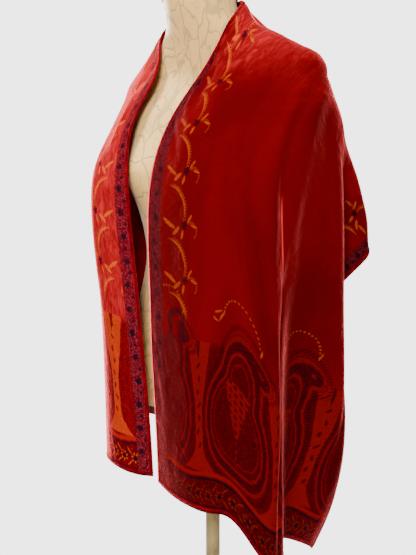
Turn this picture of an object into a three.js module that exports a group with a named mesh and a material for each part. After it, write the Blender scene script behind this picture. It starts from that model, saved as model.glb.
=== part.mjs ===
// A velvet scarf worn open over the shoulders of a limbless dress form on a pole stand.
// Millimetres, +Z up. The origin is on the floor under the pole, the form faces -Y,
// and its left side is +X.
import * as THREE from "three";

// The scarf's cut: a plain rectangle with a narrow rolled hem on its four edges.
const SCARF_LENGTH = 1730;
const SCARF_WIDTH = 520;
const WALL = 2;
const HEM_WIDTH = 6;
const HEM_THICK = 1.2;
const GAP = 0.3;
const HALF = SCARF_LENGTH / 2;

// Where the back stretch meets the two fronts, measured from the centre back along the length.
const SHOULDER_CUT = 160;

// Cells of the mesh, along and across the cloth.
const FRONT_CELLS = 31;
const BACK_CELLS = 16;
const CROSS_CELLS = 25;

// The step across at which each front is cut in two, at the valley before its side fold.
const VALLEY_STEP = 14;

// The dress form and its stand.
const FORM_BOTTOM = 800;
const FORM_TOP = 1455;
const FORM_RINGS = 38;
const FORM_SEGMENTS = 46;
const FORM_SQUARENESS = 2.25;
const BUST = { out: 26, apart: 74, width: 46, z: 1170, height: 52 };
const NECK = { forward: 34, radius: 59 };
const CAP = { radius: 63, height: 14, round: 4 };
const BOARD_THICK = 12;
const POLE_RADIUS = 11.5;
const COLLAR = { radius: 19, height: 26 };
const BASE = { radius: 165, edge: 9, crown: 20, hub: 34 };
const ROUND_SEGMENTS = 48;

// Each line below is one hang line of the scarf: the way the cloth falls from the neck or the
// shoulder. "turn" is 0 at the centre back, 1 at the back of the shoulder, 2 at its front and
// 3 at the inner edge. The other columns are [sideways, forward] at the five heights.
const HEIGHTS = [1250, 1170, 950, 700, 550];
const BACK_LINES = [
  { turn: 0.0, name: "centre back", at: [[0, -122], [0, -132], [0, -138], [0, -138], [0, -138]] },
  { turn: 0.5, name: "back blade", at: [[80, -124], [74, -140], [70, -147], [70, -147], [70, -147]] },
  { turn: 1.0, name: "back side", at: [[165, -113], [150, -142], [142, -152], [142, -152], [142, -152]] },
  { turn: 1.12, name: "back corner", at: [[190, -107], [188, -138], [184, -151], [184, -151], [184, -151]] },
  { turn: 1.25, name: "back fold", at: [[205, -96], [216, -125], [219, -138], [219, -138], [219, -138]] },
];
const LEFT_LINES = [
  ...BACK_LINES,
  { turn: 1.54, name: "side valley", at: [[212, -56], [196, -66], [150, -78], [140, -80], [100, -80]] },
  { turn: 1.774, name: "outer fold", at: [[222, -20], [226, -25], [222, -25], [214, -22], [150, -36]] },
  { turn: 1.855, name: "front valley", at: [[213, 12], [205, 30], [172, 45], [166, 45], [150, 30]] },
  { turn: 1.92, name: "ridge", at: [[210, 35], [208, 70], [207, 85], [206, 85], [205, 85]] },
  { turn: 2.0, name: "shoulder front", at: [[198, 55], [190, 100], [185, 118], [182, 120], [182, 120]] },
  { turn: 2.32, name: "side of bust", at: [[130, 110], [130, 145], [130, 155], [130, 155], [130, 155]] },
  { turn: 2.66, name: "bust", at: [[70, 125], [75, 158], [80, 165], [85, 165], [85, 165]] },
  { turn: 3.0, name: "inner edge", at: [[4, 112], [-7, 140], [-4, 145], [8, 140], [8, 140]] },
];
const RIGHT_LINES = [
  ...BACK_LINES,
  { turn: 1.54, name: "side valley", at: [[212, -56], [196, -66], [155, -70], [172, -46], [168, -40]] },
  { turn: 1.774, name: "outer fold", at: [[222, -20], [224, -25], [214, -24], [206, -14], [198, -8]] },
  { turn: 1.855, name: "front valley", at: [[213, 5], [205, 15], [172, 20], [160, 24], [152, 24]] },
  { turn: 1.92, name: "ridge", at: [[205, 25], [205, 50], [186, 45], [172, 42], [172, 42]] },
  { turn: 2.0, name: "shoulder front", at: [[195, 45], [190, 78], [168, 80], [155, 80], [155, 80]] },
  { turn: 2.32, name: "side of bust", at: [[165, 78], [150, 132], [122, 135], [108, 135], [108, 135]] },
  { turn: 2.66, name: "bust", at: [[115, 112], [105, 158], [85, 155], [65, 148], [65, 148]] },
  { turn: 3.0, name: "inner edge", at: [[75, 115], [60, 137], [30, 140], [12, 130], [12, 130]] },
];
// The same lines above those heights, on the neck and shoulders: [sideways, forward, height].
const YOKE = [
  { turn: 0.0, neck: [0, -32, 1462], crest: [0, -57, 1405], blade: [0, -94, 1335] },
  { turn: 0.33, neck: [50, -18, 1460], crest: [70, -46, 1408], blade: [85, -88, 1337] },
  { turn: 0.66, neck: [70, 22, 1435], crest: [105, -18, 1404], blade: [155, -67, 1342] },
  { turn: 1.0, neck: [51, 75, 1337], crest: [120, 40, 1368], blade: [205, -35, 1340] },
];
// The point of the cloth that lies on each shoulder's tip: along from the centre back, across
// from the neck edge. "collar" is the length of neck edge behind the shoulder, and "ease" is
// the extra cloth between the two that falls to the front, over the bust. "sag" is how much
// further down the cloth has slipped on some hang lines: [turn, drop].
const LEFT = {
  side: 1,
  lines: LEFT_LINES,
  along: 130,
  across: 205,
  collar: 203,
  ease: 35,
  sag: [[1, 0], [1.6, -30], [1.75, -20], [1.86, -10], [1.93, 40], [2.0, 54], [2.06, 6], [2.3, 7], [3, 5]],
};
const RIGHT = {
  side: -1,
  lines: RIGHT_LINES,
  along: 208,
  across: 190,
  collar: 215,
  ease: 35,
  sag: [[1, 0], [1.5, -28], [1.7, -54], [1.85, -34], [1.95, 0], [2.3, 2], [2.6, 8], [3, 8]],
};

// The dress form: half width, middle (forward of the pole), and depth before and behind it.
const FORM_ROWS = [
  { z: 800, half: 148, middle: 0, front: 100, back: 104 },
  { z: 870, half: 154, middle: 0, front: 103, back: 112 },
  { z: 950, half: 140, middle: 0, front: 98, back: 98 },
  { z: 1050, half: 117, middle: 0, front: 90, back: 82 },
  { z: 1120, half: 129, middle: 0, front: 98, back: 92 },
  { z: 1175, half: 144, middle: 0, front: 110, back: 103 },
  { z: 1230, half: 160, middle: -5, front: 108, back: 105 },
  { z: 1280, half: 182, middle: -12, front: 98, back: 92 },
  { z: 1315, half: 196, middle: -20, front: 82, back: 72 },
  { z: 1340, half: 190, middle: -22, front: 72, back: 60 },
  { z: 1368, half: 152, middle: -18, front: 70, back: 50 },
  { z: 1393, half: 108, middle: -6, front: 64, back: 46 },
  { z: 1415, half: 76, middle: 10, front: 61, back: 52 },
  { z: 1435, half: 62, middle: 26, front: 60, back: 56 },
  { z: 1455, half: NECK.radius, middle: NECK.forward, front: NECK.radius, back: NECK.radius },
];

const clamp = (x, low, high) => Math.min(Math.max(x, low), high);
const mix = (a, b, w) => a * (1 - w) + b * w;

function easeIn(value, from, to) {
  const x = clamp((value - from) / (to - from), 0, 1);
  return x * x * (3 - 2 * x);
}

// A smooth curve through rows of numbers at the given knots, with each slope from its neighbours.
function smoothRows(knots, rows) {
  const last = knots.length - 1;
  const rise = (i, c) => (rows[i + 1][c] - rows[i][c]) / (knots[i + 1] - knots[i]);
  const slope = (i, c) => {
    if (i === 0) return rise(0, c);
    if (i === last) return rise(last - 1, c);
    const before = knots[i] - knots[i - 1];
    const after = knots[i + 1] - knots[i];
    return (rise(i - 1, c) * after + rise(i, c) * before) / (before + after);
  };
  return (at) => {
    let i = 0;
    while (i < last - 1 && at >= knots[i + 1]) i += 1;
    const step = knots[i + 1] - knots[i];
    const x = (at - knots[i]) / step;
    const y = 1 - x;
    return rows[i].map(
      (a, c) =>
        a * (1 + 2 * x) * y * y +
        slope(i, c) * step * x * y * y +
        rows[i + 1][c] * x * x * (3 - 2 * x) -
        slope(i + 1, c) * step * x * x * y,
    );
  };
}

// A path through points that can be asked for the point at a length along it. "pinned" makes
// the point with that index lie at that length.
function measuredPath(points, pinned) {
  const knots = [0];
  for (let i = 1; i < points.length; i += 1) {
    const chord = Math.hypot(...points[i].map((v, c) => v - points[i - 1][c]));
    knots.push(knots[i - 1] + chord ** 0.7);
  }
  const curve = smoothRows(knots, points);
  const steps = 260;
  const end = knots[knots.length - 1];
  const fine = Array.from({ length: steps + 1 }, (_, k) => curve((end * k) / steps));
  const arc = [0];
  for (let k = 1; k <= steps; k += 1)
    arc.push(arc[k - 1] + Math.hypot(...fine[k].map((v, c) => v - fine[k - 1][c])));
  if (pinned) {
    const place = (knots[pinned.index] / end) * steps;
    const low = Math.floor(place);
    const reached = mix(arc[low], arc[Math.min(low + 1, steps)], place - low);
    for (let k = 0; k <= steps; k += 1)
      arc[k] = arc[k] < reached ? (arc[k] * pinned.length) / reached : arc[k] - reached + pinned.length;
  }
  return (length) => {
    const wanted = clamp(length, 0, arc[steps]);
    let k = 0;
    while (k < steps - 1 && arc[k + 1] < wanted) k += 1;
    const w = (wanted - arc[k]) / (arc[k + 1] - arc[k]);
    return fine[k].map((v, c) => mix(v, fine[k + 1][c], w));
  };
}

// Tabulates one half of the scarf: a path for each of many hang lines.
const TURN_STEP = 0.01;
const LENGTH_STEP = 5;
function hangTable(half) {
  const below = smoothRows(half.lines.map((l) => l.turn), half.lines.map((l) => l.at.flat()));
  const yoke = smoothRows(YOKE.map((y) => y.turn), YOKE.map((y) => [...y.neck, ...y.crest, ...y.blade]));
  const hanging = (turn) => {
    const flat = below(turn);
    return HEIGHTS.map((z, i) => [flat[2 * i], flat[2 * i + 1], z]);
  };
  const above = (turn) => {
    const flat = yoke(turn);
    return [flat.slice(0, 3), flat.slice(3, 6), flat.slice(6, 9)];
  };
  const tip = YOKE[YOKE.length - 1].blade;
  const tie = { index: 2, length: half.across };
  const seam = measuredPath([...above(1), ...hanging(1)], tie);
  const table = [];
  for (let n = 0; n <= Math.round(3 / TURN_STEP); n += 1) {
    const turn = n * TURN_STEP;
    let place;
    if (turn <= 1) {
      const points = [...above(turn), ...hanging(turn)];
      const free = measuredPath(points);
      const tied = measuredPath(points, tie);
      const w = clamp((turn - 0.5) / 0.5, 0, 1);
      place = (length) => free(length).map((v, c) => mix(v, tied(length)[c], w));
    } else {
      const start = turn <= 2 ? tip : seam(half.across * (3 - turn));
      const path = measuredPath([start, ...hanging(turn)]);
      place = (length) => path(length - half.across);
    }
    table.push(Array.from({ length: 201 }, (_, k) => place(k * LENGTH_STEP)));
  }
  return table;
}

// Which hang line a point of the cloth is on, and how far down it. Close to the shoulder's tip
// the lines of the fan are spread more evenly round it than they are lower down.
const FAN = { spread: 0.42, start: 50, end: 500 };
const SAG_START = 80;
const SAG_END = 480;
function hangPlace(half, along, across) {
  const slipped = (turn, length) => {
    const [drop] = half.slip(turn);
    return [turn, half.across + length + drop * easeIn(length, SAG_START, SAG_END)];
  };
  const x = clamp(across / half.across, 0, 1);
  const reach = mix(half.collar, half.along, x) - half.ease * 4 * x * (1 - x);
  if (along <= reach) return [along / reach, across];
  if (across <= half.across) return slipped(3 - across / half.across, along - reach);
  const ahead = along - half.along;
  const outward = across - half.across;
  const length = Math.hypot(ahead, outward);
  const spread = mix(FAN.spread, 1, easeIn(length, FAN.start, FAN.end));
  const turn = 1 + (Math.atan2(ahead, outward) / (Math.PI / 2)) ** spread;
  return slipped(turn, length);
}

for (const half of [LEFT, RIGHT])
  half.slip = smoothRows(half.sag.map(([turn]) => turn), half.sag.map(([, drop]) => [drop]));
const tables = new Map([LEFT, RIGHT].map((half) => [half, hangTable(half)]));

// The draped place of a point of the cloth, before it is settled on the form.
function drape(along, across) {
  const half = along >= 0 ? LEFT : RIGHT;
  const table = tables.get(half);
  const [turn, length] = hangPlace(half, Math.abs(along), across);
  const a = clamp(turn / TURN_STEP, 0, table.length - 1.001);
  const b = clamp(length / LENGTH_STEP, 0, 199.999);
  const [i, j] = [Math.floor(a), Math.floor(b)];
  const [x, forward, z] = [0, 1, 2].map((c) =>
    mix(
      mix(table[i][j][c], table[i][j + 1][c], b - j),
      mix(table[i + 1][j][c], table[i + 1][j + 1][c], b - j),
      a - i,
    ),
  );
  return [half.side * x, -forward, z];
}

// The dress form's section at a height.
const formRow = smoothRows(FORM_ROWS.map((r) => r.z), FORM_ROWS.map((r) => [r.half, r.middle, r.front, r.back]));

function bustOut(x, z) {
  const across = (Math.abs(x) - BUST.apart) / BUST.width;
  const up = (z - BUST.z) / BUST.height;
  return BUST.out * Math.exp(-across * across - up * up);
}

// The section's squareness: 2 is an ellipse, as at the neck.
const NECK_BASE = 1380;
const squareness = (z) => mix(FORM_SQUARENESS, 2, clamp((z - NECK_BASE) / 50, 0, 1));

function formPoint(z, angle) {
  const [half, middle, front, back] = formRow(z);
  const power = 2 / squareness(z);
  const [c, s] = [Math.cos(angle), Math.sin(angle)];
  const x = half * Math.sign(c) * Math.abs(c) ** power;
  const depth = s < 0 ? front + bustOut(x, z) : back;
  return [x, -middle + depth * Math.sign(s) * Math.abs(s) ** power, z];
}

// How far a point is outside the form, below zero inside it, and the way out.
function outsideForm(p) {
  const level = (x, y, z) => {
    const [half, middle, front, back] = formRow(clamp(z, FORM_BOTTOM, FORM_TOP));
    const ahead = -y - middle;
    const depth = ahead > 0 ? front + bustOut(x, z) : back;
    const power = squareness(z);
    return (Math.abs(x / half) ** power + Math.abs(ahead / depth) ** power) ** (1 / power) - 1;
  };
  const step = 1;
  const [x, y, z] = p;
  const here = level(x, y, z);
  const grad = [
    (level(x + step, y, z) - level(x - step, y, z)) / (2 * step),
    (level(x, y + step, z) - level(x, y - step, z)) / (2 * step),
    (level(x, y, z + step) - level(x, y, z - step)) / (2 * step),
  ];
  const size = Math.hypot(...grad);
  return { distance: here / size, out: grad.map((v) => v / size) };
}

// The whole cloth on one even grid, settled: kinks are eased and it is kept off the form.
const SETTLE_ROUNDS = 18;
const EASE = 0.35;
const FORM_CLEAR = { chest: 4.2, shoulder: 5.9, from: 1300, to: 1345 };
const GRID = { along: 121, across: 41 };
function settledCloth() {
  const rows = GRID.along;
  const cols = GRID.across;
  let grid = Array.from({ length: rows }, (_, i) =>
    Array.from({ length: cols }, (_, j) =>
      drape(-HALF + (SCARF_LENGTH * i) / (rows - 1), (SCARF_WIDTH * j) / (cols - 1)),
    ),
  );
  for (let round = 0; round < SETTLE_ROUNDS; round += 1) {
    grid = grid.map((row, i) =>
      row.map((p, j) => {
        const alongEdge = i === 0 || i === rows - 1;
        const crossEdge = j === 0 || j === cols - 1;
        const eased = p.map((v, c) => {
          const a = alongEdge ? 0 : (grid[i - 1][j][c] + grid[i + 1][j][c]) / 2 - v;
          const b = crossEdge ? 0 : (grid[i][j - 1][c] + grid[i][j + 1][c]) / 2 - v;
          return v + (EASE * (a + b)) / 2;
        });
        const { distance, out } = outsideForm(eased);
        const high = easeIn(p[2], FORM_CLEAR.from, FORM_CLEAR.to);
        const clear = mix(FORM_CLEAR.chest, FORM_CLEAR.shoulder, high);
        const push = p[2] > FORM_BOTTOM - 20 ? Math.max(0, clear - distance) : 0;
        return eased.map((v, c) => v + push * out[c]);
      }),
    );
  }
  return grid;
}

const cloth = settledCloth();

function clothPoint(along, across) {
  const a = clamp(((along + HALF) / SCARF_LENGTH) * (GRID.along - 1), 0, GRID.along - 1.001);
  const b = clamp((across / SCARF_WIDTH) * (GRID.across - 1), 0, GRID.across - 1.001);
  const [i, j] = [Math.floor(a), Math.floor(b)];
  return [0, 1, 2].map((c) =>
    mix(
      mix(cloth[i][j][c], cloth[i][j + 1][c], b - j),
      mix(cloth[i + 1][j][c], cloth[i + 1][j + 1][c], b - j),
      a - i,
    ),
  );
}

// The cloth's outward normal, from points a little way along and across. Close to an edge it is
// the normal a little way in, so a hem and its panel are lifted the same way.
const NORMAL_REACH = 9;
function clothNormal(along, across) {
  const a = clamp(along, NORMAL_REACH - HALF, HALF - NORMAL_REACH);
  const b = clamp(across, NORMAL_REACH, SCARF_WIDTH - NORMAL_REACH);
  const between = (p, q) => new THREE.Vector3(...clothPoint(...p)).sub(new THREE.Vector3(...clothPoint(...q)));
  const s = between([a + NORMAL_REACH, b], [a - NORMAL_REACH, b]);
  const t = between([a, b + NORMAL_REACH], [a, b - NORMAL_REACH]);
  return t.cross(s).normalize();
}

// A closed mesh from two skins of the same grid and the rim that joins them.
function closedWall(outer, inner) {
  const rows = outer.length;
  const cols = outer[0].length;
  const points = [...outer.flat(), ...inner.flat()];
  const skin = rows * cols;
  const at = (i, j) => i * cols + j;
  const index = [];
  const quad = (a, b, c, d) => index.push(a, b, c, a, c, d);
  for (let i = 0; i < rows - 1; i += 1)
    for (let j = 0; j < cols - 1; j += 1) {
      quad(at(i, j), at(i, j + 1), at(i + 1, j + 1), at(i + 1, j));
      quad(skin + at(i, j), skin + at(i + 1, j), skin + at(i + 1, j + 1), skin + at(i, j + 1));
    }
  const rim = (a, b) => quad(b, a, skin + a, skin + b);
  for (let j = 0; j < cols - 1; j += 1) {
    rim(at(0, j), at(0, j + 1));
    rim(at(rows - 1, j + 1), at(rows - 1, j));
  }
  for (let i = 0; i < rows - 1; i += 1) {
    rim(at(i + 1, 0), at(i, 0));
    rim(at(i, cols - 1), at(i + 1, cols - 1));
  }
  const geometry = new THREE.BufferGeometry();
  geometry.setAttribute("position", new THREE.Float32BufferAttribute(points.flat(), 3));
  geometry.setIndex(index);
  geometry.computeVertexNormals();
  return geometry;
}

// Even steps with a narrow one at each end, as wide as a hem, so that a hem lies on whole cells.
function evenSteps(from, to, cells) {
  const inner = Array.from({ length: cells - 1 }, (_, k) =>
    mix(from + HEM_WIDTH, to - HEM_WIDTH, k / (cells - 2)),
  );
  return [from, ...inner, to];
}

// A wall over the given steps of the cloth, its middle lifted off the cloth's own middle.
function stretch({ alongs, acrosses, lift, thick }) {
  const skin = (height) =>
    alongs.map((along) =>
      acrosses.map((across) => {
        const out = clothNormal(along, across);
        const p = clothPoint(along, across);
        return [p[0] + height * out.x, p[1] + height * out.y, p[2] + height * out.z];
      }),
    );
  return closedWall(skin(lift + thick / 2), skin(lift - thick / 2));
}

const model = new THREE.Group();
function piece(name, geometry, material) {
  const mesh = new THREE.Mesh(geometry, material);
  mesh.name = name;
  model.add(mesh);
  return mesh;
}

const velvet = new THREE.MeshStandardMaterial({ color: 0x9c0814, roughness: 0.85, metalness: 0 });
const hemVelvet = new THREE.MeshStandardMaterial({ color: 0x7d0610, roughness: 0.85, metalness: 0 });
const cover = new THREE.MeshStandardMaterial({ color: 0xd8caa8, roughness: 0.8, metalness: 0 });
const capPaint = new THREE.MeshStandardMaterial({ color: 0xd9dadb, roughness: 0.35, metalness: 0.3 });
const board = new THREE.MeshStandardMaterial({ color: 0x3a1a14, roughness: 0.6, metalness: 0 });
const brushed = new THREE.MeshStandardMaterial({ color: 0xb5a588, roughness: 0.35, metalness: 0.9 });

// The scarf in three stretches, each front cut once more along the valley of its side fold. A
// narrow rolled hem lies on the inner side of every edge, made from the panels' own points.
const HEM_LIFT = -(WALL / 2 + GAP + HEM_THICK / 2);
const CROSS_STEPS = evenSteps(0, SCARF_WIDTH, CROSS_CELLS);
const FRONT_STRIP = [...CROSS_STEPS.slice(0, VALLEY_STEP), CROSS_STEPS[VALLEY_STEP] - GAP / 2];
const SIDE_STRIP = [CROSS_STEPS[VALLEY_STEP] + GAP / 2, ...CROSS_STEPS.slice(VALLEY_STEP + 1)];
const STRETCHES = [
  {
    name: "right_front",
    from: -HALF,
    to: -SHOULDER_CUT - GAP / 2,
    cells: FRONT_CELLS,
    panels: { right_front: FRONT_STRIP, right_side: SIDE_STRIP },
  },
  {
    name: "back",
    from: -SHOULDER_CUT + GAP / 2,
    to: SHOULDER_CUT - GAP / 2,
    cells: BACK_CELLS,
    panels: { back: CROSS_STEPS },
  },
  {
    name: "left_front",
    from: SHOULDER_CUT + GAP / 2,
    to: HALF,
    cells: FRONT_CELLS,
    panels: { left_front: FRONT_STRIP, left_side: SIDE_STRIP },
  },
];
for (const { name, from, to, cells, panels } of STRETCHES) {
  const alongs = evenSteps(from, to, cells);
  for (const [panel, acrosses] of Object.entries(panels))
    piece("scarf_" + panel, stretch({ alongs, acrosses, lift: 0, thick: WALL }), velvet);
  const reach = HALF - HEM_WIDTH - GAP;
  const between = alongs.filter((v) => Math.abs(v) < HALF - 1).map((v) => clamp(v, -reach, reach));
  const hem = { alongs: between, lift: HEM_LIFT, thick: HEM_THICK };
  piece("hem_neck_" + name, stretch({ ...hem, acrosses: CROSS_STEPS.slice(0, 2) }), hemVelvet);
  piece("hem_outer_" + name, stretch({ ...hem, acrosses: CROSS_STEPS.slice(-2) }), hemVelvet);
}
for (const [name, alongs] of [
  ["right", [-HALF, HEM_WIDTH - HALF]],
  ["left", [HALF - HEM_WIDTH, HALF]],
]) {
  const end = { alongs, acrosses: CROSS_STEPS, lift: HEM_LIFT, thick: HEM_THICK };
  piece("hem_end_" + name, stretch(end), hemVelvet);
}

// A closed body from rings of points, each end filled from its middle.
function ringBody(rings) {
  const count = rings[0].length;
  const points = rings.flat();
  const index = [];
  for (let r = 0; r < rings.length - 1; r += 1)
    for (let k = 0; k < count; k += 1) {
      const [a, b] = [r * count + k, r * count + ((k + 1) % count)];
      index.push(a, b, b + count, a, b + count, a + count);
    }
  const fill = (ring, flip) => {
    const middle = points.length;
    const centre = [0, 1, 2].map((c) => ring.reduce((sum, p) => sum + p[c], 0) / count);
    points.push(centre);
    const first = flip ? 0 : (rings.length - 1) * count;
    for (let k = 0; k < count; k += 1) {
      const [a, b] = [first + k, first + ((k + 1) % count)];
      if (flip) index.push(middle, b, a);
      else index.push(middle, a, b);
    }
  };
  fill(rings[0], true);
  fill(rings[rings.length - 1], false);
  const geometry = new THREE.BufferGeometry();
  geometry.setAttribute("position", new THREE.Float32BufferAttribute(points.flat(), 3));
  geometry.setIndex(index);
  geometry.computeVertexNormals();
  return geometry;
}

function formRing(z, shrink = 0) {
  return Array.from({ length: FORM_SEGMENTS }, (_, k) => {
    const [x, y] = formPoint(z, (2 * Math.PI * k) / FORM_SEGMENTS);
    const scale = 1 - shrink / Math.hypot(x, y);
    return [x * scale, y * scale, z];
  });
}

// Rings stand closer together over the shoulders, where the form turns in to the neck.
const formHeights = Array.from({ length: FORM_RINGS + 1 }, (_, i) => {
  const w = i / FORM_RINGS;
  return mix(FORM_BOTTOM, FORM_TOP, mix(w, 1 - (1 - w) * (1 - w), 0.45));
});
const boardTop = FORM_BOTTOM - GAP;
const boardBottom = boardTop - BOARD_THICK;
piece("form_torso", ringBody(formHeights.map((z) => formRing(z))), cover);
piece(
  "form_board",
  ringBody([boardBottom, boardTop].map((z) => formRing(FORM_BOTTOM, 3).map(([x, y]) => [x, y, z]))),
  board,
);

// Round pieces turned about an upright axis: a list of [radius, height] from the bottom up.
function turned(profile, forward = 0) {
  const outline = profile.map(([radius, z]) => new THREE.Vector2(radius, z));
  const geometry = new THREE.LatheGeometry(outline, ROUND_SEGMENTS);
  geometry.rotateX(Math.PI / 2);
  geometry.translate(0, -forward, 0);
  return geometry;
}

const capBottom = FORM_TOP + GAP;
const capTop = capBottom + CAP.height;
piece(
  "neck_cap",
  turned(
    [[0, capBottom], [CAP.radius, capBottom], [CAP.radius, capTop - CAP.round], [CAP.radius - CAP.round, capTop], [0, capTop]],
    NECK.forward,
  ),
  capPaint,
);
const poleBottom = BASE.crown + GAP;
piece(
  "pole",
  turned([[0, poleBottom], [POLE_RADIUS, poleBottom], [POLE_RADIUS, boardBottom - GAP], [0, boardBottom - GAP]]),
  brushed,
);
const collarInner = POLE_RADIUS + GAP;
const collarTop = poleBottom + COLLAR.height;
piece(
  "pole_collar",
  turned([
    [collarInner, poleBottom],
    [COLLAR.radius, poleBottom],
    [COLLAR.radius, collarTop - 4],
    [COLLAR.radius - 3, collarTop],
    [collarInner, collarTop],
    [collarInner, poleBottom],
  ]),
  brushed,
);
piece(
  "base_disc",
  turned([
    [0, 0],
    [BASE.radius - 2, 0],
    [BASE.radius, 2],
    [BASE.radius, BASE.edge - 2],
    [BASE.radius - 3, BASE.edge],
    [BASE.hub + 30, BASE.crown - 2],
    [BASE.hub, BASE.crown],
    [0, BASE.crown],
  ]),
  brushed,
);

export default model;
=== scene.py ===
"""A velvet paisley scarf worn open over a limbless dress form on a pole stand.

Metres, +Z up. The form faces -Y and its left side is +X. "along" runs the length of the cloth
from the centre back, positive on the form's left, and "across" from the neck edge outwards.
"""

import math
from types import SimpleNamespace

import bpy
import numpy as np
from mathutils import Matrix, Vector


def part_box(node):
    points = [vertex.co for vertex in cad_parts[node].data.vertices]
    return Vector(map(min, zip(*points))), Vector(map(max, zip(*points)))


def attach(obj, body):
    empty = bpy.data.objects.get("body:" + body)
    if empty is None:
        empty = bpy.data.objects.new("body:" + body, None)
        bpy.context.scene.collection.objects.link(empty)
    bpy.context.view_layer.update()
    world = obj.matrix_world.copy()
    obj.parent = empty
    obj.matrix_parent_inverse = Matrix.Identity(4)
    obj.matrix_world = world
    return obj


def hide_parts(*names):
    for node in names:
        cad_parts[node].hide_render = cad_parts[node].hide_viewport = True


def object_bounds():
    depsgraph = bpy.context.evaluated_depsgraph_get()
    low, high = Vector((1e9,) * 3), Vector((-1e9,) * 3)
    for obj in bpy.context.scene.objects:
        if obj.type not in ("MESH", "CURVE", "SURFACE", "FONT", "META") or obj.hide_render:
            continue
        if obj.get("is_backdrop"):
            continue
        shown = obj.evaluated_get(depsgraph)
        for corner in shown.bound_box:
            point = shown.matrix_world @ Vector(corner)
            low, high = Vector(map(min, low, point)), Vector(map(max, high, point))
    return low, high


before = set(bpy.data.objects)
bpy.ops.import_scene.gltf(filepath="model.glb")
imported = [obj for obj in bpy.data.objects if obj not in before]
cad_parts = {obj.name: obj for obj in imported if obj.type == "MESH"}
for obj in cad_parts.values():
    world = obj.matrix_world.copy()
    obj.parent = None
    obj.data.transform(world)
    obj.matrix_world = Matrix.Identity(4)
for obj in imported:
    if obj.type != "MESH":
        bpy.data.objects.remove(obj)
CAD_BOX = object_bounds()


def metres(table):
    """A table written in millimetres, as an array in metres."""
    return np.array(table, float) / 1000


# The scarf's cut.
SCARF_LENGTH = 1.73
SCARF_WIDTH = 0.52
HALF = SCARF_LENGTH / 2
CLOTH_THICK = 0.0016
HEM_RADIUS = 0.0019

# The cloth is settled on a coarse grid and then drawn on a fine one.
COARSE = (121, 41)
FINE = (341, 131)

# The camera: the photograph's angle, distance and height. The pole stands a little right of
# the picture's middle.
CAMERA_TURN = math.radians(40)
CAMERA_DISTANCE = 1.5
CAMERA_HEIGHT = 1.007
CAMERA_STEP = 0.008
PICTURE_HEIGHT = 555
FOCAL_PIXELS = 909
SENSOR = 36.0

# Hang lines of the scarf: "turn" is 0 at the centre back, 1 at the back of the shoulder, 2 at
# its front and 3 at the inner edge. The rest is [sideways, forward] at the five heights, in mm,
# and the last pair holds for the heights below it too.
HEIGHTS = metres([1250, 1170, 950, 700, 550])
BACK_LINES = [
    (0.0, [[0, -122], [0, -132], [0, -138]]),
    (0.5, [[80, -124], [74, -140], [70, -147]]),
    (1.0, [[165, -113], [150, -142], [142, -152]]),
    (1.12, [[190, -107], [188, -138], [184, -151]]),
    (1.25, [[205, -96], [216, -125], [219, -138]]),
]
LEFT_LINES = BACK_LINES + [
    (1.54, [[212, -56], [196, -66], [150, -78], [140, -80], [100, -80]]),
    (1.774, [[222, -20], [226, -25], [222, -25], [214, -22], [150, -36]]),
    (1.855, [[213, 12], [205, 30], [172, 45], [166, 45], [150, 30]]),
    (1.92, [[210, 35], [208, 70], [207, 85], [206, 85], [205, 85]]),
    (2.0, [[198, 55], [190, 100], [185, 118], [182, 120]]),
    (2.32, [[130, 110], [130, 145], [130, 155]]),
    (2.66, [[70, 125], [75, 158], [80, 165], [85, 165]]),
    (3.0, [[4, 112], [-7, 140], [-4, 145], [8, 140]]),
]
RIGHT_LINES = BACK_LINES + [
    (1.54, [[212, -56], [196, -66], [155, -70], [172, -46], [168, -40]]),
    (1.774, [[222, -20], [224, -25], [214, -24], [206, -14], [198, -8]]),
    (1.855, [[213, 5], [205, 15], [172, 20], [160, 24], [152, 24]]),
    (1.92, [[205, 25], [205, 50], [186, 45], [172, 42]]),
    (2.0, [[195, 45], [190, 78], [168, 80], [155, 80]]),
    (2.32, [[165, 78], [150, 132], [122, 135], [108, 135]]),
    (2.66, [[115, 112], [105, 158], [85, 155], [65, 148]]),
    (3.0, [[75, 115], [60, 137], [30, 140], [12, 130]]),
]
# The same lines on the neck and shoulders: [sideways, forward, height] at neck,
# crest and blade, in mm.
YOKE_LINES = [
    (0.0, [[0, -32, 1462], [0, -57, 1405], [0, -94, 1335]]),
    (0.33, [[50, -18, 1460], [70, -46, 1408], [85, -88, 1337]]),
    (0.66, [[70, 22, 1435], [105, -18, 1404], [155, -67, 1342]]),
    (1.0, [[51, 75, 1337], [120, 40, 1368], [205, -35, 1340]]),
]
# Each half: the place along and across the cloth at the shoulder's tip, the length of neck edge
# behind the shoulder, the ease over the bust, and how far the cloth slips down at some turns.
LEFT = {
    "lines": LEFT_LINES,
    "along": 0.13,
    "across": 0.205,
    "collar": 0.203,
    "ease": 0.035,
    "sag_turns": [1, 1.6, 1.75, 1.86, 1.93, 2.0, 2.06, 2.3, 3],
    "sag_drops": [0, -0.03, -0.02, -0.01, 0.04, 0.054, 0.006, 0.007, 0.005],
}
RIGHT = {
    "lines": RIGHT_LINES,
    "along": 0.208,
    "across": 0.19,
    "collar": 0.215,
    "ease": 0.035,
    "sag_turns": [1, 1.5, 1.7, 1.85, 1.95, 2.3, 2.6, 3],
    "sag_drops": [0, -0.028, -0.054, -0.034, 0, 0.002, 0.008, 0.008],
}
SAG_START = 0.08
SAG_END = 0.48
FAN_SPREAD = 0.42
FAN_START = 0.05
FAN_END = 0.5

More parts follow.
